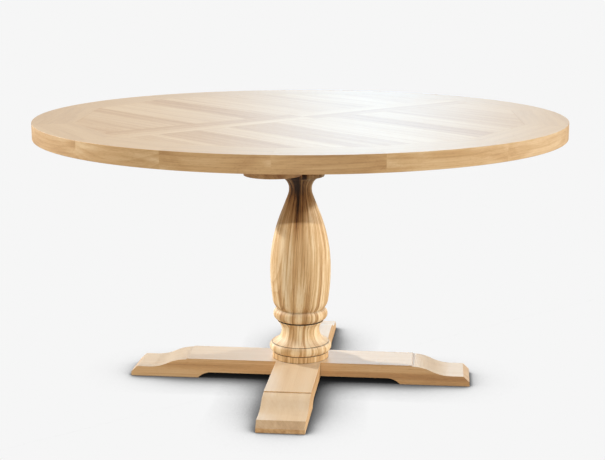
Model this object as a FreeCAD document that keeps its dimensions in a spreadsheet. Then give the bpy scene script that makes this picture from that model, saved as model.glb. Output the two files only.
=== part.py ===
import FreeCAD, Part
import math
import os
import Sketcher
from FreeCAD import Vector

# A round pedestal table: a parquet top in a ring of mitred border boards, a cross of two
# bearers under it, a turned column on a steel tie rod, and a cross of two lapped base beams.
# Millimetres, +Z up. The origin is on the floor, under the middle of the column.
# The base beams lie along X and Y.

doc = FreeCAD.newDocument("pedestal_table")
sheet = doc.addObject("Spreadsheet::Sheet", "Sizes")

sizes = {
    # whole table
    "table_height": 767,
    "top_diameter": 1500,
    # top
    "top_thickness": 45,
    "rim_round": 2.5,
    "border_depth": 113,        # from the rim to an inner corner of the border
    "slat_thickness": 20,
    "glue_line": 0.4,           # open joint between neighbouring boards of the top
    "spine_angle": 46,          # direction of the two middle strips, from +X
    "spine_strip": 58.5,        # width of each middle strip
    "spine_shift": -8.5,        # the strips' shared edge, off the middle of the top
    # bearers under the top
    "bearer_setback": 63,       # from the rim to the end of a bearer
    "bearer_width": 140,
    "bearer_thickness": 22,
    # column, from the floor up
    "foot_diameter": 164.8,
    "foot_height": 19,
    "ring_height": 91,
    "torus_start_radius": 83,
    "torus_end_radius": 85,
    "torus_height": 27,
    "torus_swell": 6.6,         # how far the bead or torus stands out of its own chord
    "quirk_depth": 2.5,
    "quirk_height": 1.3,
    "cove_lip_radius": 83.2,
    "throat_radius": 55,
    "throat_height": 64,
    "ring_top_radius": 67,
    "ring_lip": 1.5,
    "groove_radius": 62,
    "groove_height": 3,
    "bead_height": 34,
    "bead_swell": 13.7,
    "waist_radius": 69.2,
    "waist_height": 2.5,
    "shoulder_radius": 81.6,
    "shoulder_height": 27,
    "shoulder_swell": 2.8,
    "belly_radius": 88.2,
    "belly_share": 0.33,        # how far up from the waist to the neck the belly is
    "cone_steepness": 1.66,
    "neck_radius": 32.8,
    "neck_round": 50,
    "flare_radius": 66,
    "flare_height": 36,
    "head_height": 105,
    "head_flange_radius": 68,
    "head_flange_swell": 2.2,
    "head_flange_height": 13,
    "head_radius": 58,
    "head_cove": 12,
    "head_lip": 6,
    # base beams
    "beam_length": 992,
    "beam_width": 130,
    "beam_height": 57,
    "beam_flat": 660,           # length of the flat top, between the two steps
    "step_height": 2.5,
    "ogee_length": 111,
    "toe_height": 29,
    "toe_length": 37,
    "nose_height": 12,
    "pad_length": 200,          # what stands on the floor at each end
    "relief_height": 17,
    "relief_curve": 38,
    # fastenings
    "rod_diameter": 12,
    "rod_clearance": 1,
    "rod_end": 1,               # how far the rod stands out of each nut
    "nut_flats": 19,
    "nut_height": 10,
    "washer_diameter": 37,
    "washer_thickness": 2.5,
    "sink_diameter": 40,
    "base_sink": 8,
    "bearer_sink": 3,
    "dowel_diameter": 10,
    "dowel_length": 50,
    "dowel_circle": 80,
    "foot_dowel_depth": 15,
    "head_dowel_rise": 11,
    "screw_diameter": 5,
    "screw_head": 10,
    "screw_head_depth": 3,
    "screw_length": 36,
    "base_screw_circle": 100,
    "bearer_screw_first": 130,
    "bearer_screw_pitch": 200,
    "bearer_screw_offset": 45,
}

# where the border's mitres are, in degrees from +X
jointAngles = [18.5, 48, 78, 108, 138, 168, 201, 228.5, 250, 271, 291.5, 318.5, 348]

# where the slats of each side meet, along the spine, as shares of the field's radius
slatJoints = {
    "left": [-0.887, -0.741, -0.619, -0.520, -0.378, -0.242, -0.082, 0.046, 0.141, 0.330,
             0.518, 0.733],
    "right": [-0.867, -0.823, -0.722, -0.619, -0.482, -0.361, -0.242, -0.063, 0.088, 0.243,
              0.416, 0.597, 0.785],
}

for index, angle in enumerate(jointAngles, 1):
    sizes[f"joint_{index:02d}"] = angle
for side, shares in slatJoints.items():
    for index, share in enumerate(shares, 1):
        sizes[f"{side}_share_{index:02d}"] = share

for row, (alias, value) in enumerate(sizes.items(), 1):
    sheet.set(f"A{row}", alias)
    sheet.set(f"B{row}", str(value))
    sheet.setAlias(f"B{row}", alias)
doc.recompute()


def size(alias):
    return f"Sizes.{alias}"


def number(expression):
    return float(sheet.evalExpression(expression))


# ---- heights of the stack, as expressions

footBottom = size("beam_height")
ringBottom = f"({footBottom} + {size('foot_height')})"
shaftBottom = f"({ringBottom} + {size('ring_height')})"
topUnderside = f"({size('table_height')} - {size('top_thickness')})"
bearerBottom = f"({topUnderside} - {size('bearer_thickness')})"
headBottom = f"({bearerBottom} - {size('head_height')})"
slatBottom = f"({size('table_height')} - {size('slat_thickness')})"
rimRadius = f"({size('top_diameter')} / 2)"
cornerRadius = f"({rimRadius} - {size('border_depth')})"
boreRadius = f"(({size('rod_diameter')} + {size('rod_clearance')}) / 2)"
lapHeight = f"(({size('relief_height')} + {size('beam_height')}) / 2)"
halfBearer = f"({size('bearer_thickness')} / 2)"


# ---- sketches and solids

def newBody(label):
    return doc.addObject("PartDesign::Body", label)


def newSketch(body, role):
    plane = next(item for item in body.Origin.OriginFeatures if item.Role == role)
    sketch = body.newObject("Sketcher::SketchObject", body.Name + "_outline")
    sketch.AttachmentSupport = [(plane, "")]
    sketch.MapMode = "FlatFace"
    return sketch


def arcBetween(start, end, radius, side):
    # side 1 bulges to the right of the way from start to end, side -1 to the left
    chord = end - start
    right = Vector(chord.y, -chord.x, 0).normalize()
    reach = math.sqrt(radius ** 2 - chord.Length ** 2 / 4)
    centre = (start + end) / 2 - right * (side * reach)
    first, last = (start, end) if side > 0 else (end, start)
    angles = [math.atan2(point.y - centre.y, point.x - centre.x) for point in (first, last)]
    if angles[1] < angles[0]:
        angles[1] += 2 * math.pi
    circle = Part.Circle(centre, Vector(0, 0, 1), radius)
    return Part.ArcOfCircle(circle, *angles)


def drawOutline(sketch, corners, curves):
    """A closed outline, counter-clockwise. corners are pairs of expressions. curves give
    the side and the radius of the edge that leaves a corner, by the corner's number."""
    points = [Vector(number(x), number(y), 0) for x, y in corners]
    count = len(points)
    for index, start in enumerate(points):
        end = points[(index + 1) % count]
        if index in curves:
            side, radius = curves[index]
            edge = arcBetween(start, end, number(radius), side)
        else:
            edge = Part.LineSegment(start, end)
        sketch.addGeometry(edge, False)
    # an arc runs counter-clockwise, so one that bulges left starts at its edge's end
    starts = [2 if index in curves and curves[index][0] < 0 else 1 for index in range(count)]
    for index, (x, y) in enumerate(corners):
        following = (index + 1) % count
        sketch.addConstraint(Sketcher.Constraint(
            "Coincident", index, 3 - starts[index], following, starts[following]))
        for kind, expression in (("DistanceX", x), ("DistanceY", y)):
            made = sketch.addConstraint(Sketcher.Constraint(
                kind, -1, 1, index, starts[index], number(expression)))
            sketch.setExpression(f"Constraints[{made}]", expression)
        if index in curves:
            radius = curves[index][1]
            made = sketch.addConstraint(Sketcher.Constraint("Radius", index, number(radius)))
            sketch.setExpression(f"Constraints[{made}]", radius)


def swellRadius(start, end, swell):
    """The radius of an arc that stands out of its chord by swell."""
    chord = f"(({end[0]} - {start[0]}) ^ 2 + ({end[1]} - {start[1]}) ^ 2)"
    return f"({chord} / 4 + {swell} ^ 2) / (2 * {swell})"


def tangentRadius(start, end, along):
    """The radius of an arc that leaves or meets one end parallel to an axis."""
    across = 1 - along
    rise = f"abs({end[across]} - {start[across]})"
    run = f"({end[along]} - {start[along]})"
    return f"({run} ^ 2 + {rise} ^ 2) / (2 * {rise})"


def turned(label, corners, curves=None):
    """A solid of revolution about Z. The corners are radius and height."""
    body = newBody(label)
    sketch = newSketch(body, "XZ_Plane")
    drawOutline(sketch, corners, curves or {})
    revolution = body.newObject("PartDesign::Revolution", label + "_turned")
    revolution.Profile = (sketch, [""])
    revolution.ReferenceAxis = (sketch, ["V_Axis"])
    revolution.Angle = 360
    return body


def padded(label, plane, corners, length, curves=None, start="0"):
    """A straight solid: an outline on a plane, padded from start along its normal."""
    body = newBody(label)
    sketch = newSketch(body, plane)
    drawOutline(sketch, corners, curves or {})
    sketch.setExpression(".AttachmentOffset.Base.z", start)
    pad = body.newObject("PartDesign::Pad", label + "_pad")
    pad.Profile = (sketch, [""])
    pad.setExpression("Length", length)
    return body


def box(name, length, width, height):
    item = doc.addObject("Part::Box", name)
    item.setExpression("Length", length)
    item.setExpression("Width", width)
    item.setExpression("Height", height)
    return item


def cylinder(name, radius, height):
    item = doc.addObject("Part::Cylinder", name)
    item.setExpression("Radius", radius)
    item.setExpression("Height", height)
    return item


def place(item, x="0", y="0", z="0", turn="0"):
    """A place, and a turn about Z in degrees."""
    for name, expression in (("x", x), ("y", y), ("z", z)):
        item.setExpression(f".Placement.Base.{name}", expression)
    item.Placement.Rotation.Axis = Vector(0, 0, 1)
    item.setExpression(".Placement.Rotation.Angle", f"({turn}) * 1 deg")
    return item


def lay(item, x, y, z, direction):
    """A place, with the item's own Z laid level along a direction in degrees."""
    for name, expression in (("x", x), ("y", y), ("z", z)):
        item.setExpression(f".Placement.Base.{name}", expression)
    item.setExpression(".Placement.Rotation.Axis.x", f"-sin(({direction}) * 1 deg)")
    item.setExpression(".Placement.Rotation.Axis.y", f"cos(({direction}) * 1 deg)")
    item.setExpression(".Placement.Rotation.Axis.z", "0")
    item.setExpression(".Placement.Rotation.Angle", "90 deg")
    return item


def common(label, base, tool):
    item = doc.addObject("Part::Common", label)
    item.Base = base
    item.Tool = tool
    return item


def cut(label, base, *tools):
    """base without the tools. The last step carries the label."""
    for index, tool in enumerate(tools, 1):
        name = label if index == len(tools) else f"{label}_cut_{index}"
        item = doc.addObject("Part::Cut", name)
        item.Base = base
        item.Tool = tool
        base = item
    return base


def group(label, items):
    item = doc.addObject("Part::Compound", label)
    item.Links = items
    return item


def polar(radius, angle):
    """The x and y of a point at a radius and an angle in degrees."""
    turn = f"(({angle}) * 1 deg)"
    return f"({radius}) * cos({turn})", f"({radius}) * sin({turn})"


# ---- fastenings

def newDowel(name):
    return cylinder(name, f"{size('dowel_diameter')} / 2", size("dowel_length"))


def columnDowels():
    reach = f"{size('dowel_circle')} / 2"
    levels = {
        "low": f"{footBottom} - {size('foot_dowel_depth')}",
        "high": f"{bearerBottom} + {size('head_dowel_rise')} - {size('dowel_length')}",
    }
    made = []
    for name, level in levels.items():
        for side, sign in (("right", ""), ("left", "-")):
            item = newDowel(f"dowel_{name}_{side}")
            made.append(place(item, x=sign + reach, z=level))
    return group("column_dowels", made)


def topDowels():
    """Two dowels through each mitre of the border, and one from each board into the core."""
    half = f"{size('dowel_length')} / 2"
    mitreLevel = f"{size('table_height')} - {size('top_thickness')} / 2"
    made = []
    for index in range(borderCount):
        angle = joint(index)
        for row, share in (("inner", "0.3"), ("outer", "0.7")):
            x, y = polar(f"{cornerRadius} + {share} * {size('border_depth')}", angle)
            backX, backY = polar(half, f"{angle} - 90")
            item = newDowel(f"mitre_dowel_{index + 1:02d}_{row}")
            made.append(lay(item, f"{x} + {backX}", f"{y} + {backY}", mitreLevel,
                            f"{angle} + 90"))
        middle = f"({angle} + {joint(index + 1)}) / 2"
        spread = f"(({joint(index + 1)} - {angle}) / 2 * 1 deg)"
        x, y = polar(f"{cornerRadius} * cos{spread} - {half}", middle)
        item = newDowel(f"core_dowel_{index + 1:02d}")
        made.append(lay(item, x, y, f"({topUnderside} + {slatBottom}) / 2", middle))
    return group("top_dowels", made)


def screw(name, x, y, z):
    """A countersunk screw that points up, its head flush with the level z."""
    radius = f"{size('screw_diameter')} / 2"
    head = doc.addObject("Part::Cone", name + "_head")
    head.setExpression("Radius1", f"{size('screw_head')} / 2")
    head.setExpression("Radius2", radius)
    head.setExpression("Height", size("screw_head_depth"))
    place(head, x, y, z)
    point = doc.addObject("Part::Cone", name + "_point")
    point.setExpression("Radius1", radius)
    point.Radius2 = 0
    point.setExpression("Height", size("screw_diameter"))
    place(point, x, y, f"{z} + {size('screw_length')} - {size('screw_diameter')}")
    shank = cylinder(name + "_shank", radius,
                     f"{size('screw_length')} - {size('screw_head_depth')}"
                     f" - {size('screw_diameter')}")
    place(shank, x, y, f"{z} + {size('screw_head_depth')}")
    item = doc.addObject("Part::MultiFuse", name)
    item.Shapes = [head, shank, point]
    item.Refine = True
    return item


def baseScrews():
    made = []
    for index in range(4):
        x, y = polar(f"{size('base_screw_circle')} / 2", str(45 + 90 * index))
        made.append(screw(f"base_screw_{index + 1}", x, y, size("relief_height")))
    return group("base_screws", made)


def bearerScrews():
    made = []
    for arm in range(4):
        for row in range(3):
            along = f"{size('bearer_screw_first')} + {row} * {size('bearer_screw_pitch')}"
            across = f"{'' if row % 2 else '-'}{size('bearer_screw_offset')}"
            x, y = polar(along, str(90 * arm))
            sideX, sideY = polar(across, str(90 * arm + 90))
            made.append(screw(f"bearer_screw_{arm + 1}_{row + 1}", f"{x} + {sideX}",
                              f"{y} + {sideY}", bearerBottom))
    return group("bearer_screws", made)


# where the tie rod's two washers start and which way their nuts go
rodRadius = f"{size('rod_diameter')} / 2"
lowerSeat = f"({size('relief_height')} + {size('base_sink')})"
upperSeat = f"({bearerBottom} + {halfBearer} - {size('bearer_sink')})"
nutStack = f"({size('washer_thickness')} + {size('nut_height')})"
rodBottom = f"({lowerSeat} - {nutStack} - {size('rod_end')})"
rodTop = f"({upperSeat} + {nutStack} + {size('rod_end')})"


def tieRod():
    return place(cylinder("tie_rod", rodRadius, f"{rodTop} - {rodBottom}"), z=rodBottom)


def rodWashers(rod):
    made = []
    for name, level in (("lower", f"{lowerSeat} - {size('washer_thickness')}"),
                        ("upper", upperSeat)):
        disc = cylinder(f"washer_{name}_disc", f"{size('washer_diameter')} / 2",
                        size("washer_thickness"))
        made.append(cut(f"washer_{name}", place(disc, z=level), rod))
    return group("rod_washers", made)


def rodNuts(rod):
    made = []
    for name, level in (("lower", f"{lowerSeat} - {nutStack}"),
                        ("upper", f"{upperSeat} + {size('washer_thickness')}")):
        blank = doc.addObject("Part::Prism", f"nut_{name}_blank")
        blank.Polygon = 6
        blank.setExpression("Circumradius", f"{size('nut_flats')} / 2 / cos(30 deg)")
        blank.setExpression("Height", size("nut_height"))
        made.append(cut(f"nut_{name}", place(blank, z=level), rod))
    return group("rod_nuts", made)


# ---- base

def beamOutline(notchTop):
    """Half-lapped beam, seen from its side: pads and a relief below, an ogee at each toe."""
    end = f"({size('beam_length')} / 2)"
    padEnd = f"({end} - {size('pad_length')})"
    reliefEnd = f"({padEnd} - {size('relief_curve')})"
    flatEnd = f"({size('beam_flat')} / 2)"
    ogeeMiddle = f"({flatEnd} + {size('ogee_length')} / 2)"
    ogeeEnd = f"({flatEnd} + {size('ogee_length')})"
    toeEnd = f"({ogeeEnd} + {size('toe_length')})"
    notch = f"({size('beam_width')} / 2)"
    top = size("beam_height")
    ledge = f"({top} - {size('step_height')})"
    middle = f"(({ledge} + {size('toe_height')}) / 2)"
    relief = size("relief_height")
    under = [(end, "0"), (padEnd, "0"), (reliefEnd, relief)]
    over = [(end, size("nose_height")), (toeEnd, size("toe_height")),
            (ogeeEnd, size("toe_height")), (ogeeMiddle, middle), (flatEnd, ledge),
            (flatEnd, top)]
    if notchTop:
        over += [(notch, top), (notch, lapHeight)]
    else:
        under += [(notch, relief), (notch, lapHeight)]
    left = [(f"-{x}", z) for x, z in under]
    right = under[::-1]
    back = [(f"-{x}", z) for x, z in over[::-1]]
    corners = left + right + over + back
    reliefRadius = tangentRadius(under[1], under[2], 0)
    ogeeRadius = tangentRadius(over[2], over[3], 0)
    first = len(left) + len(right)
    after = first + len(over)
    last = after + len(over) - 1
    curves = {
        1: (-1, reliefRadius),
        first - 3: (-1, reliefRadius),
        first + 2: (-1, ogeeRadius),
        first + 3: (1, ogeeRadius),
        last - 4: (1, ogeeRadius),
        last - 3: (-1, ogeeRadius),
    }
    return corners, curves


def baseBeam(label, notchTop, turn, *tools):
    corners, curves = beamOutline(notchTop)
    width = size("beam_width")
    blank = padded(f"{label}_blank", "XZ_Plane", corners, width, curves, f"-{width} / 2")
    place(blank, turn=turn)
    return cut(label, blank, *tools)


# ---- column

def columnFoot(*tools):
    radius = f"({size('foot_diameter')} / 2)"
    corners = [(boreRadius, footBottom), (radius, footBottom), (radius, ringBottom),
               (boreRadius, ringBottom)]
    return cut("column_foot", turned("column_foot_blank", corners), *tools)


def columnRing(*tools):
    torusStart = (size("torus_start_radius"), f"({ringBottom} + {size('quirk_height')})")
    torusEnd = (size("torus_end_radius"), f"({ringBottom} + {size('torus_height')})")
    quirk = f"({size('torus_start_radius')} - {size('quirk_depth')})"
    upperQuirk = f"({size('cove_lip_radius')} - {size('quirk_height')})"
    lip = (size("cove_lip_radius"), f"({torusEnd[1]} + {size('quirk_height')})")
    throat = (size("throat_radius"), f"({ringBottom} + {size('throat_height')})")
    coveEnd = (size("ring_top_radius"), f"({shaftBottom} - {size('ring_lip')})")
    corners = [(boreRadius, ringBottom), (quirk, ringBottom), (quirk, torusStart[1]),
               torusStart, torusEnd, (upperQuirk, torusEnd[1]), lip, throat, coveEnd,
               (coveEnd[0], shaftBottom), (boreRadius, shaftBottom)]
    curves = {
        3: (1, swellRadius(torusStart, torusEnd, size("torus_swell"))),
        6: (-1, tangentRadius(lip, throat, 1)),
        7: (-1, tangentRadius(throat, coveEnd, 1)),
    }
    return cut("column_ring", turned("column_ring_blank", corners, curves), *tools)


def columnShaft():
    """The vase: a groove, a bead, a waist, then a belly that runs up through a cone into
    the neck and flares out under the head."""
    beadStart = (size("groove_radius"), f"({shaftBottom} + {size('groove_height')})")
    beadEnd = (size("waist_radius"), f"({beadStart[1]} + {size('bead_height')})")
    waist = (size("waist_radius"), f"({beadEnd[1]} + {size('waist_height')})")
    shoulder = (size("shoulder_radius"), f"({waist[1]} + {size('shoulder_height')})")
    neck = (size("neck_radius"), f"({headBottom} - {size('flare_height')})")
    rise = f"({neck[1]} - {waist[1]})"
    belly = (size("belly_radius"), f"({waist[1]} + {size('belly_share')} * {rise})")
    # the cone is tangent to the belly's arc and to the neck's
    taper = f"({belly[0]} - {neck[0]})"
    slope = f"({size('cone_steepness')} * {taper} / ({neck[1]} - {belly[1]}))"
    cosine = f"(1 / sqrt(1 + {slope} ^ 2))"
    sine = f"({slope} * {cosine})"
    neckRound = size("neck_round")
    bellyRound = (f"(({size('cone_steepness')} - 1) * {taper} * {cosine} / (1 - {cosine})"
                  f" - {neckRound})")
    coneStart = (f"({belly[0]} - {bellyRound} * (1 - {cosine}))",
                 f"({belly[1]} + {bellyRound} * {sine})")
    coneEnd = (f"({neck[0]} + {neckRound} * (1 - {cosine}))",
               f"({neck[1]} - {neckRound} * {sine})")
    flare = (size("flare_radius"), headBottom)
    corners = [(boreRadius, shaftBottom), (beadStart[0], shaftBottom), beadStart, beadEnd,
               waist, shoulder, belly, coneStart, coneEnd, neck, flare,
               (boreRadius, headBottom)]
    curves = {
        2: (1, swellRadius(beadStart, beadEnd, size("bead_swell"))),
        4: (1, swellRadius(waist, shoulder, size("shoulder_swell"))),
        5: (1, tangentRadius(shoulder, belly, 1)),
        6: (1, bellyRound),
        8: (-1, neckRound),
        9: (-1, tangentRadius(neck, flare, 1)),
    }
    return turned("column_shaft", corners, curves)


def columnHead(*tools):
    flangeTop = f"({headBottom} + {size('head_flange_height')})"
    cove = size("head_cove")
    coveRadius = f"({size('head_radius')} + {cove})"
    lipBottom = f"({bearerBottom} - {size('head_lip')})"
    flange = [(size("head_flange_radius"), headBottom), (size("head_flange_radius"), flangeTop)]
    corners = [(boreRadius, headBottom)] + flange + [
        (f"({size('head_flange_radius')} - {size('quirk_depth')})", flangeTop),
        (size("head_radius"), f"({flangeTop} + {cove})"),
        (size("head_radius"), f"({lipBottom} - {cove})"),
        (coveRadius, lipBottom), (coveRadius, bearerBottom), (boreRadius, bearerBottom)]
    curves = {
        1: (1, swellRadius(flange[0], flange[1], size("head_flange_swell"))),
        3: (-1, tangentRadius(corners[3], corners[4], 1)),
        5: (-1, cove),
    }
    return cut("column_head", turned("column_head_blank", corners, curves), *tools)


# ---- bearers under the top

def bearer(label, lapBottom, turn, *tools):
    """A board with round ends, halved where it crosses the other one."""
    side = f"({size('bearer_width')} / 2)"
    end = f"({rimRadius} - {size('bearer_setback')})"
    straight = f"({end} - {side})"
    corners = [(f"-{straight}", f"-{side}"), (straight, f"-{side}"), (end, "0"),
               (straight, side), (f"-{straight}", side), (f"-{end}", "0")]
    curves = {index: (1, side) for index in (1, 2, 4, 5)}
    blank = padded(f"{label}_blank", "XY_Plane", corners, size("bearer_thickness"), curves)
    place(blank, z=bearerBottom, turn=turn)
    lap = box(f"{label}_lap", size("bearer_width"), size("bearer_width"), halfBearer)
    place(lap, f"-{side}", f"-{side}", lapBottom)
    return cut(label, blank, lap, *tools)


# ---- top

borderCount = len(jointAngles)


def joint(index):
    """The angle of a mitre, counted on past the last one."""
    turns, place = divmod(index, borderCount)
    return f"({size(f'joint_{place + 1:02d}')} + {360 * turns})"


def fieldPrism(label, radius, bottom, height):
    """A prism on the border's inner edges, which run between its mitres."""
    corners = [polar(radius, joint(index)) for index in range(borderCount)]
    return place(padded(label, "XY_Plane", corners, height), z=bottom)


def borderBoards(tools):
    """The round blank less the field, parted at the mitres."""
    rim = f"({rimRadius} - {size('rim_round')})"
    low = f"({topUnderside} + {size('rim_round')})"
    high = f"({size('table_height')} - {size('rim_round')})"
    corners = [("0", topUnderside), (rim, topUnderside), (rimRadius, low),
               (rimRadius, high), (rim, size("table_height")), ("0", size("table_height"))]
    curves = {1: (1, size("rim_round")), 3: (1, size("rim_round"))}
    blank = turned("top_blank", corners, curves)
    field = fieldPrism("border_field", cornerRadius, topUnderside, size("top_thickness"))
    ring = cut("border_ring", blank, field)
    gap = f"({size('glue_line')} / {cornerRadius} / pi * 180)"
    made = []
    for index in range(borderCount):
        name = f"border_board_{index + 1:02d}"
        sector = cylinder(f"{name}_sector", f"{rimRadius} * 1.1", size("top_thickness"))
        span = f"{joint(index + 1)} - {joint(index)} - {gap}"
        sector.setExpression("Angle", f"({span}) * 1 deg")
        place(sector, z=topUnderside, turn=f"{joint(index)} + {gap} / 2")
        board = common(f"{name}_blank", ring, sector)
        made.append(cut(name, board, *tools))
    return made


def corePanel(*tools):
    height = f"{size('top_thickness')} - {size('slat_thickness')}"
    blank = fieldPrism("core_panel_blank", cornerRadius, topUnderside, height)
    return cut("core_panel", blank, *tools)


def strip(label, field, start, end, low, high):
    """A board of the field, between two places along the spine and two across it."""
    gap = size("glue_line")
    item = box(f"{label}_strip", f"{end} - ({start}) - {gap}", f"{high} - ({low}) - {gap}",
               size("slat_thickness"))
    angle = size("spine_angle")
    alongX, alongY = polar(f"{start} + {gap} / 2", angle)
    acrossX, acrossY = polar(f"{low} + {gap} / 2", f"{angle} + 90")
    place(item, f"{alongX} + {acrossX}", f"{alongY} + {acrossY}", slatBottom, angle)
    return common(label, field, item)


def fieldBoards():
    """Two strips along the spine, each in two boards, and slats across it on both sides."""
    field = fieldPrism("slat_field", f"{cornerRadius} - {size('glue_line')}", slatBottom,
                       size("slat_thickness"))
    middle = size("spine_shift")
    left = f"({middle} + {size('spine_strip')})"
    right = f"({middle} - {size('spine_strip')})"
    reach = cornerRadius
    made = []
    for low, high in ((middle, left), (right, middle)):
        for start, end in ((f"-{reach}", "0"), ("0", reach)):
            label = f"spine_board_{len(made) + 1}"
            made.append(strip(label, field, start, end, low, high))
    for side, low, high in (("left", left, reach), ("right", f"-{reach}", right)):
        shares = range(1, len(slatJoints[side]) + 1)
        edges = [f"{size(f'{side}_share_{index:02d}')} * {reach}" for index in shares]
        edges = [f"-{reach}"] + edges + [reach]
        for index, (start, end) in enumerate(zip(edges, edges[1:]), 1):
            made.append(strip(f"slat_{side}_{index:02d}", field, start, end, low, high))
    return made


# ---- the table

rodBore = place(cylinder("rod_bore", boreRadius, size("table_height")))
baseSink = place(cylinder("base_sink_tool", f"{size('sink_diameter')} / 2", lowerSeat))
bearerSink = place(cylinder("bearer_sink_tool", f"{size('sink_diameter')} / 2",
                            f"{topUnderside} - {upperSeat}"), z=upperSeat)

rod = tieRod()
dowels = columnDowels()
lapScrews = baseScrews()
topScrews = bearerScrews()
edgeDowels = topDowels()

nodes = [
    baseBeam("base_beam_x", True, "0", rodBore, baseSink, lapScrews),
    baseBeam("base_beam_y", False, "90", rodBore, lapScrews, dowels),
    lapScrews,
    columnFoot(dowels),
    columnRing(dowels),
    columnShaft(),
    columnHead(dowels),
    dowels,
    rod,
    rodWashers(rod),
    rodNuts(rod),
    bearer("bearer_x", f"{bearerBottom} + {halfBearer}", "0", rodBore, bearerSink, dowels,
           topScrews),
    bearer("bearer_y", bearerBottom, "90", rodBore, bearerSink, topScrews),
    topScrews,
    corePanel(edgeDowels, topScrews),
    edgeDowels,
]
nodes += borderBoards([edgeDowels])
nodes += fieldBoards()

doc.recompute()

# ---- checks and files

for item in doc.Objects:
    if "Invalid" in item.State or "Error" in item.State:
        raise RuntimeError(f"{item.Label} failed: {item.State}")
for node in nodes:
    if node.Shape.isNull() or not node.Shape.isValid() or not node.Shape.Solids:
        raise RuntimeError(f"{node.Label} has no sound solid")

os.makedirs("parts", exist_ok=True)
for node in nodes:
    node.Shape.exportStep(f"parts/{node.Label}.step")
    print(node.Label, len(node.Shape.Solids), round(node.Shape.Volume))
print(len(nodes), "nodes")
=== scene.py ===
import math
import random

import bpy
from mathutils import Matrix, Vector


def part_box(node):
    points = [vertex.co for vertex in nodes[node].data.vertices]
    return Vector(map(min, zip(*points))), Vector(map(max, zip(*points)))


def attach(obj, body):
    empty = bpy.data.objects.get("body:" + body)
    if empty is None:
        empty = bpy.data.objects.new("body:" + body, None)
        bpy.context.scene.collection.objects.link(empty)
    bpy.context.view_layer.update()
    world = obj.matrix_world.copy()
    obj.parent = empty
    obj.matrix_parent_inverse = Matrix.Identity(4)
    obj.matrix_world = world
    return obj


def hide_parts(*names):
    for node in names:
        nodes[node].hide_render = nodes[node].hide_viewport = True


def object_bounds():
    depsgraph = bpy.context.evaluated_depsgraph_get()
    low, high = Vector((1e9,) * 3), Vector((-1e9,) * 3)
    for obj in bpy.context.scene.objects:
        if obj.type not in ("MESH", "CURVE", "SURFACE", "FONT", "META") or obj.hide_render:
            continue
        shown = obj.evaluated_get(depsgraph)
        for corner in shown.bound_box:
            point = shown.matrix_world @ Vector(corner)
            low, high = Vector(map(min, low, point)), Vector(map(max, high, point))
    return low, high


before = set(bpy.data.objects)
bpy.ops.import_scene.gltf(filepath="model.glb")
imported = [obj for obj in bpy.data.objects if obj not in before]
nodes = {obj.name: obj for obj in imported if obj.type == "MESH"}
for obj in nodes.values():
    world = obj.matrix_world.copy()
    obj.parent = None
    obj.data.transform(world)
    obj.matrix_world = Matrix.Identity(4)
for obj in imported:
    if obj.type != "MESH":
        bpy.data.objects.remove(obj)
cadLow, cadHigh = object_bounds()
bpy.ops.object.select_all(action="DESELECT")
print("frame loaded:", len(nodes), "parts")


camera = {
    "place": (0.3930, -3.6356, 1.2025),
    "turn": 5.998,          # degrees, to the left of +Y
    "pitch": 11.86,         # degrees, below level
    "lens": 76.74,
    "shiftX": -0.0029,
    "shiftY": 0.0008,
}

bpy.ops.object.camera_add(location=camera["place"])
viewer = bpy.context.object
viewer.name = "camera"
viewer.rotation_euler = (math.radians(90 - camera["pitch"]), 0, math.radians(camera["turn"]))
viewer.data.sensor_width = 36
viewer.data.lens = camera["lens"]
viewer.data.shift_x = camera["shiftX"]
viewer.data.shift_y = camera["shiftY"]
viewer.data.clip_end = 500
bpy.context.scene.camera = viewer
bpy.context.scene.view_settings.view_transform = "Standard"
print("camera set")


modelling = {
    "weld": 0.000004,       # how near two points are that become one
    "flat": 0.05,           # degrees between triangles of one flat face
    "hair": 0.00001,        # how near a point is to count as outermost
    "smooth": 30,           # degrees, up to which an edge is shaded round
}


def pieceFrom(name, pieceName):
    # a copy of a part, with its loose triangles joined and its flat faces made whole
    source = nodes[name]
    piece = source.copy()
    piece.data = source.data.copy()
    piece.name = pieceName
    for key in list(piece.keys()):
        del piece[key]
    piece.parent = None
    bpy.context.scene.collection.objects.link(piece)
    piece.data.materials.clear()
    edit(piece)
    bpy.ops.mesh.select_all(action="SELECT")
    bpy.ops.mesh.customdata_custom_splitnormals_clear()
    bpy.ops.mesh.remove_doubles(threshold=modelling["weld"])
    bpy.ops.mesh.dissolve_limited(angle_limit=math.radians(modelling["flat"]))
    done()
    return piece


def edit(piece):
    bpy.ops.object.select_all(action="DESELECT")
    piece.select_set(True)
    bpy.context.view_layer.objects.active = piece
    bpy.ops.object.mode_set(mode="EDIT")
    bpy.ops.mesh.select_mode(type="FACE")
    bpy.ops.mesh.select_all(action="DESELECT")


def done():
    bpy.ops.object.mode_set(mode="OBJECT")


def softenEdges(piece, width, segments=2, angle=30):
    bevel = piece.modifiers.new("arrises", "BEVEL")
    bevel.width = width
    bevel.segments = segments
    bevel.limit_method = "ANGLE"
    bevel.angle_limit = math.radians(angle)
    bevel.use_clamp_overlap = True
    bpy.context.view_layer.objects.active = piece
    bpy.ops.object.modifier_apply(modifier=bevel.name)


def stretch(piece, direction, amount):
    # moves a board's two outermost edges along a direction, to close up its glue lines
    places = [point.co.dot(direction) for point in piece.data.vertices]
    low = min(places) + modelling["hair"]
    high = max(places) - modelling["hair"]
    for point, place in zip(piece.data.vertices, places):
        if place < low:
            point.co -= direction * amount
        elif place > high:
            point.co += direction * amount


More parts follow.
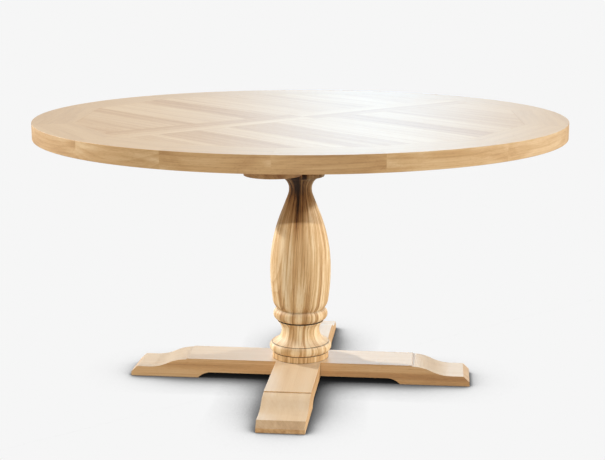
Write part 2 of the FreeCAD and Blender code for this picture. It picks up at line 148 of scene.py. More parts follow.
def finishPiece(piece, node, material):
    bpy.ops.object.select_all(action="DESELECT")
    piece.select_set(True)
    bpy.context.view_layer.objects.active = piece
    bpy.ops.object.shade_smooth_by_angle(angle=math.radians(modelling["smooth"]))
    weigh = piece.modifiers.new("flat faces", "WEIGHTED_NORMAL")
    weigh.keep_sharp = True
    bpy.ops.object.modifier_apply(modifier=weigh.name)
    piece.data.materials.append(material)
    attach(piece, "root")
    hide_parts(node)
    piece.select_set(False)


def addNode(tree, kind, inputs=None, **settings):
    node = tree.nodes.new(kind)
    for name, value in settings.items():
        setattr(node, name, value)
    for name, value in (inputs or {}).items():
        if isinstance(value, bpy.types.NodeSocket):
            tree.links.new(value, node.inputs[name])
        else:
            node.inputs[name].default_value = value
    return node


def maths(tree, operation, first, second=0.0, clamp=False):
    node = addNode(tree, "ShaderNodeMath", {0: first, 1: second}, operation=operation)
    node.use_clamp = clamp
    return node.outputs[0]


def scaled(tree, vector, factors):
    node = addNode(tree, "ShaderNodeVectorMath", {0: vector, 1: factors}, operation="MULTIPLY")
    return node.outputs[0]


def ramp(tree, value, stops):
    node = addNode(tree, "ShaderNodeValToRGB", {"Fac": value})
    elements = node.color_ramp.elements
    while len(elements) < len(stops):
        elements.new(0.5)
    for element, (position, colour) in zip(elements, stops):
        element.position = position
        element.color = (*colour, 1)
    return node.outputs["Color"]


def grey(level):
    return (level, level, level)


def newGroup(name, inputs, outputs):
    tree = bpy.data.node_groups.new(name, "ShaderNodeTree")
    for socketName, kind, value in inputs:
        socket = tree.interface.new_socket(socketName, in_out="INPUT", socket_type=kind)
        if value is not None:
            socket.default_value = value
    for socketName, kind in outputs:
        tree.interface.new_socket(socketName, in_out="OUTPUT", socket_type=kind)
    return tree, tree.nodes.new("NodeGroupInput"), tree.nodes.new("NodeGroupOutput")


figureForm = {
    "drift": (1.6, 7, 7),           # slow wander of the rings, in cycles a metre
    "driftRoughness": 0.45,
    "yearPace": 0.37,               # how quickly wide rings turn to narrow ones
    "yearSwing": 2.4,
    "weakestYear": 0.4,
    "ringProfile": ((0, 0), (0.45, 0.12), (0.82, 0.75), (0.93, 1), (1, 0)),
    "streakStretch": (0.03, 1, 1),
    "streakRoughness": 0.6,
    "fibres": (14, 620, 620),
    "fibreRoughness": 0.65,
    "pores": (55, 1300, 1300),
    "poreEdge": (0.60, 0.70),
}


def makeTimberFigure():
    # growth rings round a heart that runs along X, with streaks, fibres and pores along it
    number = "NodeSocketFloat"
    tree, given, out = newGroup(
        "timberFigure",
        [("Place", "NodeSocketVector", None), ("Ring Width", number, 0.005),
         ("Waver", number, 0.012), ("Streak Width", number, 0.03)],
        [("Rings", number), ("Streaks", number), ("Fibres", number), ("Pores", number)])
    place = given.outputs["Place"]
    drift = addNode(tree, "ShaderNodeTexNoise",
                    {"Vector": scaled(tree, place, figureForm["drift"]), "Scale": 1.0,
                     "Detail": 2.0, "Roughness": figureForm["driftRoughness"]})
    centred = addNode(tree, "ShaderNodeVectorMath",
                      {0: drift.outputs["Color"], 1: (0.5, 0.5, 0.5)}, operation="SUBTRACT")
    swing = addNode(tree, "ShaderNodeVectorMath",
                    {0: centred.outputs[0], "Scale": given.outputs["Waver"]}, operation="SCALE")
    wavy = addNode(tree, "ShaderNodeVectorMath", {0: place, 1: swing.outputs[0]},
                   operation="ADD").outputs[0]
    flat = scaled(tree, wavy, (0, 1, 1))
    reach = addNode(tree, "ShaderNodeVectorMath", {0: flat}, operation="LENGTH").outputs["Value"]
    count = maths(tree, "DIVIDE", reach, given.outputs["Ring Width"])
    pace = maths(tree, "MULTIPLY", count, figureForm["yearPace"])
    uneven = addNode(tree, "ShaderNodeTexNoise", {"W": pace, "Scale": 1.0, "Detail": 1.0},
                     noise_dimensions="1D").outputs["Fac"]
    count = maths(tree, "ADD", count, maths(tree, "MULTIPLY", uneven, figureForm["yearSwing"]))
    share = maths(tree, "FRACT", count)
    late = ramp(tree, share, [(place, grey(level)) for place, level in figureForm["ringProfile"]])
    year = addNode(tree, "ShaderNodeTexWhiteNoise", {"W": maths(tree, "FLOOR", count)},
                   noise_dimensions="1D").outputs["Value"]
    weakest = figureForm["weakestYear"]
    strength = maths(tree, "ADD", maths(tree, "MULTIPLY", year, 1 - weakest), weakest)
    tree.links.new(maths(tree, "MULTIPLY", late, strength), out.inputs["Rings"])
    across = maths(tree, "DIVIDE", 1.0, given.outputs["Streak Width"])
    streakPlace = addNode(tree, "ShaderNodeVectorMath",
                          {0: scaled(tree, wavy, figureForm["streakStretch"]), "Scale": across},
                          operation="SCALE").outputs[0]
    streaks = addNode(tree, "ShaderNodeTexNoise",
                      {"Vector": streakPlace, "Scale": 1.0, "Detail": 3.0,
                       "Roughness": figureForm["streakRoughness"]})
    tree.links.new(streaks.outputs["Fac"], out.inputs["Streaks"])
    fibres = addNode(tree, "ShaderNodeTexNoise",
                     {"Vector": scaled(tree, wavy, figureForm["fibres"]), "Scale": 1.0,
                      "Detail": 3.0, "Roughness": figureForm["fibreRoughness"]})
    tree.links.new(fibres.outputs["Fac"], out.inputs["Fibres"])
    pores = addNode(tree, "ShaderNodeTexNoise",
                    {"Vector": scaled(tree, wavy, figureForm["pores"]), "Scale": 1.0,
                     "Detail": 1.0})
    low, high = figureForm["poreEdge"]
    dark = addNode(tree, "ShaderNodeMapRange", {"Value": pores.outputs["Fac"], "From Min": low,
                                                "From Max": high})
    tree.links.new(dark.outputs["Result"], out.inputs["Pores"])
    return tree


toneForm = {
    "base": 0.35,           # the tone of plain wood
    "fibreRise": 0.35,      # how far fibres and rings stand up, against pores going in
    "ringRise": 0.3,
    "fibreDull": 0.10,      # what fibres and pores add to the roughness
    "poreDull": 0.15,
}


def makeTimberTone():
    # one tone, 0 pale to 1 dark, from the figure's four masks
    number = "NodeSocketFloat"
    tree, given, out = newGroup(
        "timberTone",
        [("Rings", number, 0), ("Streaks", number, 0.5), ("Fibres", number, 0.5),
         ("Pores", number, 0), ("Ring Depth", number, 0.3), ("Streak Depth", number, 0.6),
         ("Fibre Depth", number, 0.3), ("Pore Depth", number, 0.3), ("Shift", number, 0)],
        [("Tone", number), ("Relief", number), ("Dullness", number)])
    rings = maths(tree, "MULTIPLY", given.outputs["Rings"], given.outputs["Ring Depth"])
    streaks = maths(tree, "MULTIPLY", maths(tree, "SUBTRACT", given.outputs["Streaks"], 0.5),
                    given.outputs["Streak Depth"])
    fibres = maths(tree, "MULTIPLY", maths(tree, "SUBTRACT", given.outputs["Fibres"], 0.5),
                   given.outputs["Fibre Depth"])
    pores = maths(tree, "MULTIPLY", given.outputs["Pores"], given.outputs["Pore Depth"])
    tone = maths(tree, "ADD", maths(tree, "ADD", rings, streaks), maths(tree, "ADD", fibres, pores))
    tone = maths(tree, "ADD", tone, given.outputs["Shift"])
    tree.links.new(maths(tree, "ADD", tone, toneForm["base"], clamp=True), out.inputs["Tone"])
    raised = maths(tree, "MULTIPLY", given.outputs["Fibres"], toneForm["fibreRise"])
    hollow = maths(tree, "SUBTRACT", raised, given.outputs["Pores"])
    ridges = maths(tree, "MULTIPLY", given.outputs["Rings"], toneForm["ringRise"])
    relief = maths(tree, "ADD", hollow, ridges)
    tree.links.new(relief, out.inputs["Relief"])
    dull = maths(tree, "ADD",
                 maths(tree, "MULTIPLY", given.outputs["Fibres"], toneForm["fibreDull"]),
                 maths(tree, "MULTIPLY", given.outputs["Pores"], toneForm["poreDull"]))
    tree.links.new(dull, out.inputs["Dullness"])
    return tree


def makeWrapRound():
    # lays the figure round a turned piece, so that its lines follow the turning up and down
    number = "NodeSocketFloat"
    tree, given, out = newGroup(
        "wrapRound", [("Place", "NodeSocketVector", None), ("Radius", number, 0.08),
                      ("Share", number, 0.8)],
        [("Place", "NodeSocketVector")])
    place = given.outputs["Place"]
    flat = scaled(tree, place, (1, 1, 0))
    outward = addNode(tree, "ShaderNodeVectorMath", {0: flat}, operation="NORMALIZE").outputs[0]
    onRound = addNode(tree, "ShaderNodeVectorMath",
                      {0: outward, "Scale": given.outputs["Radius"]}, operation="SCALE").outputs[0]
    mixed = addNode(tree, "ShaderNodeMix", {0: given.outputs["Share"], 4: flat, 5: onRound},
                    data_type="VECTOR").outputs[1]
    upright = scaled(tree, place, (0, 0, 1))
    whole = addNode(tree, "ShaderNodeVectorMath", {0: mixed, 1: upright}, operation="ADD")
    tree.links.new(whole.outputs[0], out.inputs["Place"])
    return tree


creviceShadeEdge = (0.7, 0.3)    # how open a spot is where the painted shade starts, and where it is full


def makeCreviceShade():
    # painted shade: dark where neighbouring surfaces close in on each other, as an ambient
    # occlusion node finds them
    tree, given, out = newGroup("creviceShade", [("Reach", "NodeSocketFloat", 0.006)],
                                [("Depth", "NodeSocketFloat")])
    near = addNode(tree, "ShaderNodeAmbientOcclusion", {"Distance": given.outputs["Reach"]},
                   samples=8)
    start, full = creviceShadeEdge
    depth = addNode(tree, "ShaderNodeMapRange", {"Value": near.outputs["AO"], "From Min": start,
                                                 "From Max": full})
    tree.links.new(depth.outputs["Result"], out.inputs["Depth"])
    return tree


timberFigure = makeTimberFigure()
creviceShade = makeCreviceShade()
wrapRound = makeWrapRound()
timberTone = makeTimberTone()


# pale to dark, for each finish; top, border, turnedTop and beamTop are paler copies that paint
# light on faces that look up, rim, turned and beam darker copies that paint shade on the sides; the
# near-black end of turned is reached by the painted shade on the neck
woodColours = {
    "top": [(0, (0.79, 0.585, 0.35)), (0.35, (0.68, 0.46, 0.243)), (0.7, (0.55, 0.315, 0.125)),
            (1, (0.36, 0.18, 0.06))],
    "border": [(0, (0.72, 0.505, 0.28)), (0.35, (0.67, 0.452, 0.238)), (0.7, (0.58, 0.375, 0.19)),
               (1, (0.46, 0.27, 0.12))],
    "rim": [(0, (0.80, 0.56, 0.30)), (0.35, (0.62, 0.37, 0.155)), (0.7, (0.43, 0.22, 0.075)),
            (1, (0.20, 0.09, 0.03))],
    "turned": [(0, (0.96, 0.76, 0.47)), (0.35, (0.71, 0.455, 0.205)), (0.65, (0.47, 0.245, 0.085)),
               (0.85, (0.24, 0.11, 0.038)), (1, (0.035, 0.016, 0.007))],
    "turnedTop": [(0, (0.96, 0.82, 0.58)), (0.35, (0.82, 0.61, 0.37)), (0.7, (0.52, 0.30, 0.14)),
                  (0.9, (0.30, 0.14, 0.05)), (1, (0.08, 0.035, 0.012))],
    "beam": [(0, (0.82, 0.55, 0.28)), (0.35, (0.66, 0.385, 0.16)), (0.7, (0.44, 0.215, 0.075)),
             (1, (0.20, 0.085, 0.03))],
    "beamTop": [(0, (0.79, 0.65, 0.47)), (0.35, (0.76, 0.60, 0.405)), (0.7, (0.70, 0.53, 0.34)),
                (1, (0.56, 0.37, 0.20))],
}
# near-black, towards which the painted shade in crevices and bands darkens the wood
paintedShadeColour = (0.03, 0.012, 0.005)

woodFinish = {
    "ringWidth": 0.006,
    "waver": 0.03,
    "streakWidth": 0.022,
    "ringDepth": 0.14,
    "streakDepth": 0.85,
    "fibreDepth": 0.22,
    "poreDepth": 0.18,
    "gloss": 0.34,          # roughness of the lacquer
    "glossDip": 0.05,       # taken off it, as fibres and pores add some
    "coat": 0.5,
    "coatGloss": 0.38,
    "relief": 0.00012,      # metres
    "reliefShare": 0.5,
    "wrap": 0.0,            # how far the figure follows a turned piece
    "fadeLow": 0.3,         # a surface's upward share where the paler palette, of painted light, starts
    "fadeHigh": 0.95,
    "sideDullness": 0.2,    # how much rougher the sides are than the faces that look up
    # painted shade in crevices: how far it looks for them, and how strong it is
    "creviceShadeReach": 0.007,
    "paintedShade": 0.0,
    "seams": (),            # height, half width and depth of each band of painted shade at a joint or groove
    "neckShaded": False,
}


# painted shade on the front of the column's neck and cone, below the head
neckShade = {
    "wander": (45, 45, 7),  # cycles a metre
    "middle": -0.006,       # its place, as X, and how far it reaches and swings to each side
    "half": 0.042,
    "swing": 0.03,
    "low": 0.39,            # where it ends, and where it is full
    "high": 0.59,
    "depth": 1.0,
}


def paintNeckShade(tree, place):
    # painted shade: a dark band on the front half, wavering like a streak, that runs down from the
    # head and fades on the cone
    drift = addNode(tree, "ShaderNodeTexNoise", {"Vector": scaled(tree, place, neckShade["wander"]),
                                                 "Scale": 1.0, "Detail": 3.0}).outputs["Fac"]
    parts = addNode(tree, "ShaderNodeSeparateXYZ", {"Vector": place})
    x, y, z = parts.outputs
    aside = maths(tree, "ADD", maths(tree, "SUBTRACT", x, neckShade["middle"]),
                  maths(tree, "MULTIPLY", maths(tree, "SUBTRACT", drift, 0.5), neckShade["swing"]))
    nearness = maths(tree, "SUBTRACT", 1.0,
                     maths(tree, "DIVIDE", maths(tree, "ABSOLUTE", aside), neckShade["half"]),
                     clamp=True)
    height = addNode(tree, "ShaderNodeMapRange",
                     {"Value": z, "From Min": neckShade["low"], "From Max": neckShade["high"]},
                     interpolation_type="SMOOTHSTEP").outputs["Result"]
    front = maths(tree, "LESS_THAN", y, 0.0)
    return maths(tree, "MULTIPLY", maths(tree, "MULTIPLY", nearness, height),
                 maths(tree, "MULTIPLY", front, neckShade["depth"]))


def timber(name, colours, heart, turn, shift=0.0, **changes):
    # colours names the darker palette that paints shade on the sides and the paler one that paints
    # light on the faces that look up
    # heart is a point on the tree's heart, and turn lays the grain's X along the piece
    finish = {**woodFinish, **changes}
    material = bpy.data.materials.new(name)
    material.use_nodes = True
    tree = material.node_tree
    shader = tree.nodes["Principled BSDF"]
    place = addNode(tree, "ShaderNodeTexCoord").outputs["Object"]
    if finish["wrap"]:
        wrap = addNode(tree, "ShaderNodeGroup", node_tree=wrapRound)
        tree.links.new(place, wrap.inputs["Place"])
        wrap.inputs["Share"].default_value = finish["wrap"]
        place = wrap.outputs["Place"]
    lay = addNode(tree, "ShaderNodeMapping", {"Vector": place, "Location": heart, "Rotation": turn},
                  vector_type="TEXTURE")
    figure = addNode(tree, "ShaderNodeGroup", node_tree=timberFigure)
    tree.links.new(lay.outputs[0], figure.inputs["Place"])
    figure.inputs["Ring Width"].default_value = finish["ringWidth"]
    figure.inputs["Waver"].default_value = finish["waver"]
    figure.inputs["Streak Width"].default_value = finish["streakWidth"]
    tone = addNode(tree, "ShaderNodeGroup", node_tree=timberTone)
    for mask in ("Rings", "Streaks", "Fibres", "Pores"):
        tree.links.new(figure.outputs[mask], tone.inputs[mask])
    tone.inputs["Ring Depth"].default_value = finish["ringDepth"]
    tone.inputs["Streak Depth"].default_value = finish["streakDepth"]
    tone.inputs["Fibre Depth"].default_value = finish["fibreDepth"]
    tone.inputs["Pore Depth"].default_value = finish["poreDepth"]
    tone.inputs["Shift"].default_value = shift
    # painted shade on the neck's front, added to the tone
    if finish["neckShaded"]:
        dark = paintNeckShade(tree, addNode(tree, "ShaderNodeTexCoord").outputs["Object"])
        tree.links.new(maths(tree, "ADD", dark, shift), tone.inputs["Shift"])
    side, upper = colours
    normal = addNode(tree, "ShaderNodeNewGeometry").outputs["Normal"]
    upward = addNode(tree, "ShaderNodeSeparateXYZ", {"Vector": normal}).outputs["Z"]
    facing = addNode(tree, "ShaderNodeMapRange", {"Value": upward, "From Min": finish["fadeLow"],
                                                  "From Max": finish["fadeHigh"]},
                     interpolation_type="SMOOTHSTEP").outputs["Result"]
    sanded = maths(tree, "MULTIPLY", maths(tree, "SUBTRACT", 1.0, facing), finish["sideDullness"])
    rough = maths(tree, "ADD", tone.outputs["Dullness"], finish["gloss"] - finish["glossDip"])
    tree.links.new(maths(tree, "ADD", rough, sanded), shader.inputs["Roughness"])
    tree.links.new(maths(tree, "MULTIPLY", facing, finish["coat"]), shader.inputs["Coat Weight"])
    # painted light and shade: faces that look up take the paler palette, sides the darker one
    low = ramp(tree, tone.outputs["Tone"], woodColours[side])
    high = ramp(tree, tone.outputs["Tone"], woodColours[upper])
    wood = addNode(tree, "ShaderNodeMix", {0: facing, 6: low, 7: high}, data_type="RGBA")
    # painted shade: crevices found by ambient occlusion, and the bands below, darken the wood
    # towards near-black
    tight = addNode(tree, "ShaderNodeGroup", node_tree=creviceShade)
    tight.inputs["Reach"].default_value = finish["creviceShadeReach"]
    paintedShade = maths(tree, "MULTIPLY", tight.outputs["Depth"], finish["paintedShade"])
    if finish["seams"]:
        spot = addNode(tree, "ShaderNodeTexCoord").outputs["Object"]
        height = addNode(tree, "ShaderNodeSeparateXYZ", {"Vector": spot}).outputs["Z"]
    # painted shade in narrow bands round the joints and grooves
    for seam, half, depth in finish["seams"]:
        off = maths(tree, "ABSOLUTE", maths(tree, "SUBTRACT", height, seam))
        band = maths(tree, "SUBTRACT", 1.0, maths(tree, "DIVIDE", off, half), clamp=True)
        paintedShade = maths(tree, "MAXIMUM", paintedShade, maths(tree, "MULTIPLY", band, depth))
    shadedWood = addNode(tree, "ShaderNodeMix", {0: paintedShade, 6: wood.outputs[2],
                                              7: (*paintedShadeColour, 1)}, data_type="RGBA")
    tree.links.new(shadedWood.outputs[2], shader.inputs["Base Color"])
    shader.inputs["Coat Roughness"].default_value = finish["coatGloss"]
    bump = addNode(tree, "ShaderNodeBump", {"Height": tone.outputs["Relief"],
                                            "Strength": finish["reliefShare"],
                                            "Distance": finish["relief"]})
    tree.links.new(bump.outputs[0], shader.inputs["Normal"])
    return material


def dress(name, material):
    nodes[name].material_slots[0].material = material


def middle(name):
    low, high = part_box(name)
    return (low + high) / 2


draw = random.Random(7)


def heartBelow(centre, angle, depth, aside):
    # a heart that runs under a board lying at this angle, off to its side, and slid along it
    # by up to the reach, so that the boards show different stretches of the tree
    reach = 40
    across = Vector((-math.sin(angle), math.cos(angle), 0))
    along = Vector((math.cos(angle), math.sin(angle), 0))
    slid = centre + across * aside + along * draw.uniform(-reach, reach)
    return slid - Vector((0, 0, depth))


top = {
    "spineAngle": math.radians(46),
    "dark": 0.15,           # how much darker than plain wood each kind of slat is
    "medium": 0.04,
    "light": -0.10,
    "darkSlats": {"left": (1, 4, 7), "right": (3, 4, 7, 10)},
    "lightSlats": {"left": (3, 5, 6, 8, 9, 12), "right": (2, 5, 8, 9, 11, 14)},
    "spineShifts": (0.17, -0.10, -0.10, 0.17),
    "borderShifts": (-0.04, 0.03, 0.05, 0.05, 0.04, 0.12, -0.06, -0.10, -0.03, -0.02, -0.11, -0.12,
                     -0.04),
    "gloss": 0.38,
    "coreHeart": (0, 0, 0.5),
    "coreShift": 0.05,
    "coreGloss": 0.55,
    "borderHearts": ((0.05, 0.12), (-0.06, 0.06)),      # ranges of depth and of place aside
    "fieldHearts": ((0.05, 0.16), (-0.05, 0.05)),
    "toneSpread": 0.02,
    "borderFinish": {"ringDepth": 0.14, "streakDepth": 1.1, "streakWidth": 0.02, "fadeLow": 0.8},
    "facets": 720,
    "rimRound": 0.0012,
    "rimSegments": 5,
    "joint": 0.00015,       # between neighbouring boards
    "closing": 0.00014,     # how far each edge of a field board closes its glue line
    "arris": 0.00015,
    "inset": 0.00001,       # keeps the rim inside the drawn size
    "cornerReach": 0.0001,  # a point this near the farthest one is a corner of the field
    "cornerApart": 0.01,    # radians between two corners, at the least
}


def cornersOfField():
    # the field's corners, in order round from +X
    points = [point.co for point in nodes["core_panel"].data.vertices]
    reach = max(point.xy.length for point in points)
    angles = []
    for point in points:
        angle = math.atan2(point.y, point.x) % (2 * math.pi)
        far = point.xy.length > reach - top["cornerReach"]
        if far and all(abs(angle - other) > top["cornerApart"] for other in angles):
            angles.append(angle)
    return reach, sorted(angles)


def makeRoundBlank():
    # a disc with fine facets, its rim rounded above and below
    high = cadHigh.z
    radius = min(cadHigh.x, cadHigh.y, -cadLow.x, -cadLow.y) - top["inset"]
    boardLow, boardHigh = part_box("border_board_01")
    thickness = boardHigh.z - boardLow.z
    bpy.ops.mesh.primitive_cylinder_add(vertices=top["facets"], radius=radius,
                                        depth=thickness - 2 * top["inset"],
                                        location=(0, 0, high - thickness / 2))
    blank = bpy.context.object
    bpy.ops.object.transform_apply(location=True)
    softenEdges(blank, top["rimRound"], segments=top["rimSegments"], angle=60)
    return blank


def cutAway(piece, place, normal):
    # takes off what lies beyond a plane, and closes the cut
    edit(piece)
    bpy.ops.mesh.select_all(action="SELECT")
    bpy.ops.mesh.bisect(plane_co=place, plane_no=normal, use_fill=True, clear_outer=True)
    done()


def makeBorder():
    reach, angles = cornersOfField()
    blank = makeRoundBlank()
    for index, start in enumerate(angles):
        name = f"border_board_{index + 1:02d}"
        end = angles[(index + 1) % len(angles)] + (2 * math.pi if index + 1 == len(angles) else 0)
        half = (end - start) / 2
        board = blank.copy()
        board.data = blank.data.copy()
        board.name = f"rim_board_{index + 1:02d}"
        bpy.context.scene.collection.objects.link(board)
        for angle, side in ((start, 1), (end, -1)):
            outward = Vector((math.sin(angle), -math.cos(angle), 0)) * side
            cutAway(board, -outward * top["joint"] / 2, outward)
        inward = -Vector((math.cos(start + half), math.sin(start + half), 0))
        cutAway(board, -inward * (reach * math.cos(half) - top["joint"]), inward)
        softenEdges(board, top["arris"], segments=1, angle=40)
        angle = start + half + math.pi / 2
        depths, asides = top["borderHearts"]
        heart = heartBelow(middle(name), angle, draw.uniform(*depths), draw.uniform(*asides))
        finishPiece(board, name, timber(f"{board.name}_wood", ("rim", "border"), heart,
                                        (0, 0, angle), top["borderShifts"][index],
                                        gloss=top["gloss"], **top["borderFinish"]))
    bpy.data.objects.remove(blank)


def makeFieldBoard(name, pieceName, angle, shift):
    along = Vector((math.cos(angle), math.sin(angle), 0))
    across = Vector((-along.y, along.x, 0))
    board = pieceFrom(name, pieceName)
    for direction in (along, across):
        stretch(board, direction, top["closing"])
    softenEdges(board, top["arris"], segments=1, angle=40)
    depths, asides = top["fieldHearts"]
    heart = heartBelow(middle(name), angle, draw.uniform(*depths), draw.uniform(*asides))
    finishPiece(board, name, timber(f"{pieceName}_wood", ("rim", "top"), heart, (0, 0, angle),
                                    shift, gloss=top["gloss"]))


def makeField():
    for side in ("left", "right"):
        count = sum(name.startswith(f"slat_{side}_") for name in nodes)
        for index in range(1, count + 1):
            shift = top["medium"]
            if index in top["darkSlats"][side]:
                shift = top["dark"]
            if index in top["lightSlats"][side]:
                shift = top["light"]
            shift += draw.uniform(-top["toneSpread"], top["toneSpread"])
            makeFieldBoard(f"slat_{side}_{index:02d}", f"field_slat_{side}_{index:02d}",
                           top["spineAngle"] + math.pi / 2, shift)
    for index, shift in enumerate(top["spineShifts"], 1):
        makeFieldBoard(f"spine_board_{index}", f"spine_strip_{index}", top["spineAngle"], shift)
    dress("core_panel", timber("core_panel", ("beam", "beam"), Vector(top["coreHeart"]),
                               (0, 0, 0), top["coreShift"], gloss=top["coreGloss"], coat=0.0))


makeBorder()
makeField()
print("top made")


column = {
    "upright": (0, math.radians(-87), 0),
    "pieces": ("column_shaft", "column_head", "column_ring", "column_foot"),
    "shifts": (-0.10, -0.04, -0.16, -0.04),
    # bands of painted shade at the joints and grooves of the turned pieces
    "footShade": (0.0004, 0.0020, 0.9),      # above the joint, half width, depth
    "quirkShade": (0.0275, 0.0015, 0.4),
    "grooveShade": (0.0024, 0.0028, 1.3),
    "waistShade": (0.0375, 0.0040, 0.4),
    "headShade": (-0.002, 0.026, 0.5),
    "heart": (0.19, 0.13, 0.3),
    "heartStep": (0.004, -0.003, 0.7),      # from one turned piece to the next
    "arris": 0.0004,
    "finish": {"gloss": 0.55, "ringDepth": 0.30, "streakDepth": 1.7, "streakWidth": 0.014,
               "fibreDepth": 0.6, "poreDepth": 0.15, "wrap": 0.85, "ringWidth": 0.0047,
               "waver": 0.034, "paintedShade": 1.0, "coat": 0.1, "neckShaded": True},
}


def seamsOfColumn():
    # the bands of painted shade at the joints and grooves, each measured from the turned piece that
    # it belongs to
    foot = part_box("column_foot")[1].z
    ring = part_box("column_ring")[1].z
    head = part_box("column_head")[0].z
    joints = (("footShade", foot), ("quirkShade", foot), ("grooveShade", ring), ("waistShade", ring),
              ("headShade", head))
    return [(base + column[name][0], *column[name][1:]) for name, base in joints]


def dressColumn():
    seams = seamsOfColumn()
    for index, name in enumerate(column["pieces"]):
        heart = Vector(column["heart"]) + index * Vector(column["heartStep"])
        piece = pieceFrom(name, f"turned_{name.split('_')[1]}")
        softenEdges(piece, column["arris"], segments=2, angle=35)
        wood = timber(f"{piece.name}_wood", ("turned", "turnedTop"), heart, column["upright"],
                      column["shifts"][index], seams=seams, **column["finish"])
        finishPiece(piece, name, wood)


dressColumn()
print("column dressed")


beams = {
    "heart": (0.14, 0.12),      # below each beam, and aside
    "dowelHeart": (0.1, 0, 0),
    "dowelGloss": 0.6,
    "finish": {"gloss": 0.40, "ringDepth": 0.16, "streakDepth": 1.35, "streakWidth": 0.022,
               "waver": 0.012, "fadeLow": 0.5, "fadeHigh": 0.97, "paintedShade": 0.6},
    "arris": 0.0005,
    "shifts": {"base_beam_x": 0.0, "base_beam_y": -0.05, "bearer_x": 0.10, "bearer_y": 0.10},
    "names": {"base_beam_x": "foot_beam_x", "base_beam_y": "foot_beam_y",
              "bearer_x": "top_bearer_x", "bearer_y": "top_bearer_y"},
}


def dressBeams():
    for name, angle in (("base_beam_x", 0), ("base_beam_y", math.pi / 2),
                        ("bearer_x", 0), ("bearer_y", math.pi / 2)):
        heart = heartBelow(middle(name), angle, *beams["heart"])
        piece = pieceFrom(name, beams["names"][name])
        softenEdges(piece, beams["arris"], segments=2, angle=25)
        wood = timber(f"{piece.name}_wood", ("beam", "beamTop"), heart, (0, 0, angle),
                      beams["shifts"][name], **beams["finish"])
        finishPiece(piece, name, wood)
    for name in ("column_dowels", "top_dowels"):
        dress(name, timber(name, ("beam", "beam"), Vector(beams["dowelHeart"]), (0, 0, 0),
                           gloss=beams["dowelGloss"], coat=0.0))


dressBeams()
print("beams dressed")


zincCoat = {
    "colour": (0.62, 0.62, 0.60),
    "dullShare": 0.7,       # of the colour, in the darker spangles
    "spangles": 180.0,      # across a metre
    "edge": (0.35, 0.65),
    "gloss": 0.22,
    "glossSpread": 0.2,
}


def steel(name, look):
    material = bpy.data.materials.new(name)
    material.use_nodes = True
    tree = material.node_tree
    shader = tree.nodes["Principled BSDF"]
    shader.inputs["Metallic"].default_value = 1
    place = addNode(tree, "ShaderNodeTexCoord").outputs["Object"]
    cloud = addNode(tree, "ShaderNodeTexNoise", {"Vector": place, "Scale": look["spangles"],
                                                  "Detail": 3.0})
    low, high = look["edge"]
    dull = tuple(look["dullShare"] * part for part in look["colour"])
    shade = ramp(tree, cloud.outputs["Fac"], [(low, dull), (high, look["colour"])])
    tree.links.new(shade, shader.inputs["Base Color"])
    rough = maths(tree, "MULTIPLY", cloud.outputs["Fac"], look["glossSpread"])
    tree.links.new(maths(tree, "ADD", rough, look["gloss"]), shader.inputs["Roughness"])
    return material


zinc = steel("zinc", zincCoat)
for name in ("tie_rod", "rod_washers", "rod_nuts", "base_screws", "bearer_screws"):
    dress(name, zinc)
print("steel dressed")


studio = {
    "paper": 0.9216,        # the level that the floor and the backdrop show
    "floorSize": 400,
    "floorColour": 0.5,     # what the floor throws back on the table
    "shadowReach": 0.16,    # how near the table darkens the floor, and the floor's shades there
    "shadowShades": ((0.0, 0.00434), (0.45, 0.03255), (0.75, 0.33), (1, 1)),
    "skyTop": 0.5,          # the sky's strength overhead and low down on four sides
    "skyBack": 0.62,
    "skyLeft": 0.3,
    "skyRight": 0.3,
    "skyFront": 0.1,
    "skyEdge": (0.35, 0.75),
    "glow": 2.5,            # a soft, cool, bright patch low down behind the table
    "glowColour": (0.38, 0.70, 0.98),
    "glowPlace": -0.05,     # its middle, as X over Y
    "glowWidth": 0.092,
    "straightUp": 0.0001,   # both keep a share from being divided by nothing
    "sideways": 0.01,
}


def makeFloor():
    bpy.ops.mesh.primitive_plane_add(size=studio["floorSize"])
    floor = bpy.context.object
    floor.name = "studio_floor"
    material = bpy.data.materials.new("studio_paper")
    material.use_nodes = True
    tree = material.node_tree
    tree.nodes.clear()
    out = tree.nodes.new("ShaderNodeOutputMaterial")
    # the camera sees the floor glow at the paper's level, with painted shadow from an ambient
    # occlusion node near the table; other rays meet the plain grey
    plain = addNode(tree, "ShaderNodeBsdfDiffuse", {"Color": (*grey(studio["floorColour"]), 1)})
    near = addNode(tree, "ShaderNodeAmbientOcclusion", {"Distance": studio["shadowReach"]},
                   samples=12)
    level = studio["paper"]
    shade = ramp(tree, near.outputs["AO"], [(openness, grey(share * level))
                                            for openness, share in studio["shadowShades"]])
    glow = addNode(tree, "ShaderNodeEmission", {"Color": shade, "Strength": 1.0})
    seen = addNode(tree, "ShaderNodeLightPath")
    mix = addNode(tree, "ShaderNodeMixShader", {0: seen.outputs["Is Camera Ray"],
                                                1: plain.outputs[0], 2: glow.outputs[0]})
    tree.links.new(mix.outputs[0], out.inputs["Surface"])
    floor.data.materials.append(material)


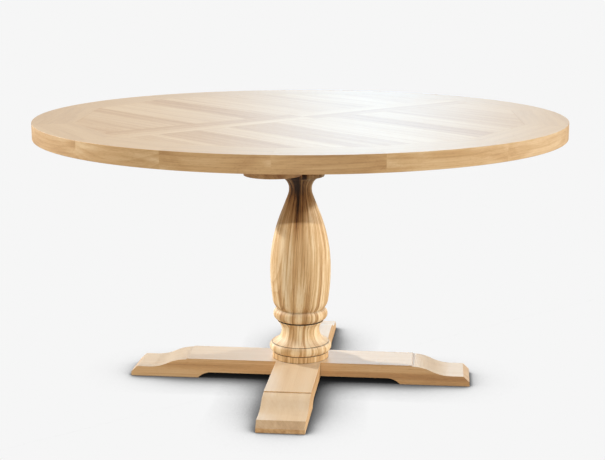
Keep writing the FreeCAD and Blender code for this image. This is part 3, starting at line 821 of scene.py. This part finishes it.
def makeSky():
    world = bpy.data.worlds.new("studio")
    bpy.context.scene.world = world
    world.use_nodes = True
    tree = world.node_tree
    tree.nodes.clear()
    out = tree.nodes.new("ShaderNodeOutputWorld")
    direction = addNode(tree, "ShaderNodeTexCoord").outputs["Generated"]
    parts = addNode(tree, "ShaderNodeSeparateXYZ", {"Vector": direction})
    x, y, z = parts.outputs
    low, high = studio["skyEdge"]
    overhead = addNode(tree, "ShaderNodeMapRange", {"Value": z, "From Min": low, "From Max": high},
                       interpolation_type="SMOOTHSTEP").outputs["Result"]
    around = maths(tree, "SUBTRACT", 1.0, overhead)
    wide = maths(tree, "MULTIPLY", x, x)
    deep = maths(tree, "MULTIPLY", y, y)
    behind = maths(tree, "GREATER_THAN", y, 0.0)
    spread = maths(tree, "MAXIMUM", maths(tree, "ADD", wide, deep), studio["straightUp"])
    total = maths(tree, "MULTIPLY", overhead, studio["skyTop"])
    sides = (("skyLeft", wide, maths(tree, "LESS_THAN", x, 0.0)),
             ("skyRight", wide, maths(tree, "GREATER_THAN", x, 0.0)),
             ("skyBack", deep, behind),
             ("skyFront", deep, maths(tree, "LESS_THAN", y, 0.0)))
    for side, share, turned in sides:
        part = maths(tree, "MULTIPLY", maths(tree, "DIVIDE", share, spread), turned)
        part = maths(tree, "MULTIPLY", maths(tree, "MULTIPLY", part, around), studio[side])
        total = maths(tree, "ADD", total, part)
    aside = maths(tree, "DIVIDE", x, maths(tree, "MAXIMUM", y, studio["sideways"]))
    off = maths(tree, "DIVIDE", maths(tree, "SUBTRACT", aside, studio["glowPlace"]),
                studio["glowWidth"])
    hump = maths(tree, "EXPONENT", maths(tree, "MULTIPLY", maths(tree, "MULTIPLY", off, off), -1.0))
    glow = maths(tree, "MULTIPLY", maths(tree, "MULTIPLY", hump, around), studio["glow"])
    glow = maths(tree, "MULTIPLY", glow, behind)
    seen = addNode(tree, "ShaderNodeLightPath")
    paper = addNode(tree, "ShaderNodeBackground", {"Color": (*grey(studio["paper"]), 1)})
    even = addNode(tree, "ShaderNodeBackground", {"Color": (1, 1, 1, 1), "Strength": total})
    patch = addNode(tree, "ShaderNodeBackground", {"Color": (*studio["glowColour"], 1),
                                                   "Strength": glow})
    soft = addNode(tree, "ShaderNodeAddShader", {0: even.outputs[0], 1: patch.outputs[0]})
    mix = addNode(tree, "ShaderNodeMixShader", {0: seen.outputs["Is Camera Ray"],
                                                1: soft.outputs[0], 2: paper.outputs[0]})
    tree.links.new(mix.outputs[0], out.inputs["Surface"])


# azimuth from +X and elevation in degrees, strength, and width in degrees
beamsOfLight = {
    "front": (-84, 20.2, 1.2, 0.6),
    "left": (156, 22, 3.3, 1.5),
    "right": (14, 16.6, 2.25, 1.8),
}


def makeLamps():
    for name, (azimuth, elevation, strength, width) in beamsOfLight.items():
        bpy.ops.object.light_add(type="SUN")
        lamp = bpy.context.object
        lamp.name = name
        lamp.data.energy = strength
        lamp.data.angle = math.radians(width)
        lamp.rotation_euler = (0, math.radians(90 - elevation), math.radians(azimuth))


makeFloor()
makeSky()
makeLamps()
print("studio set")
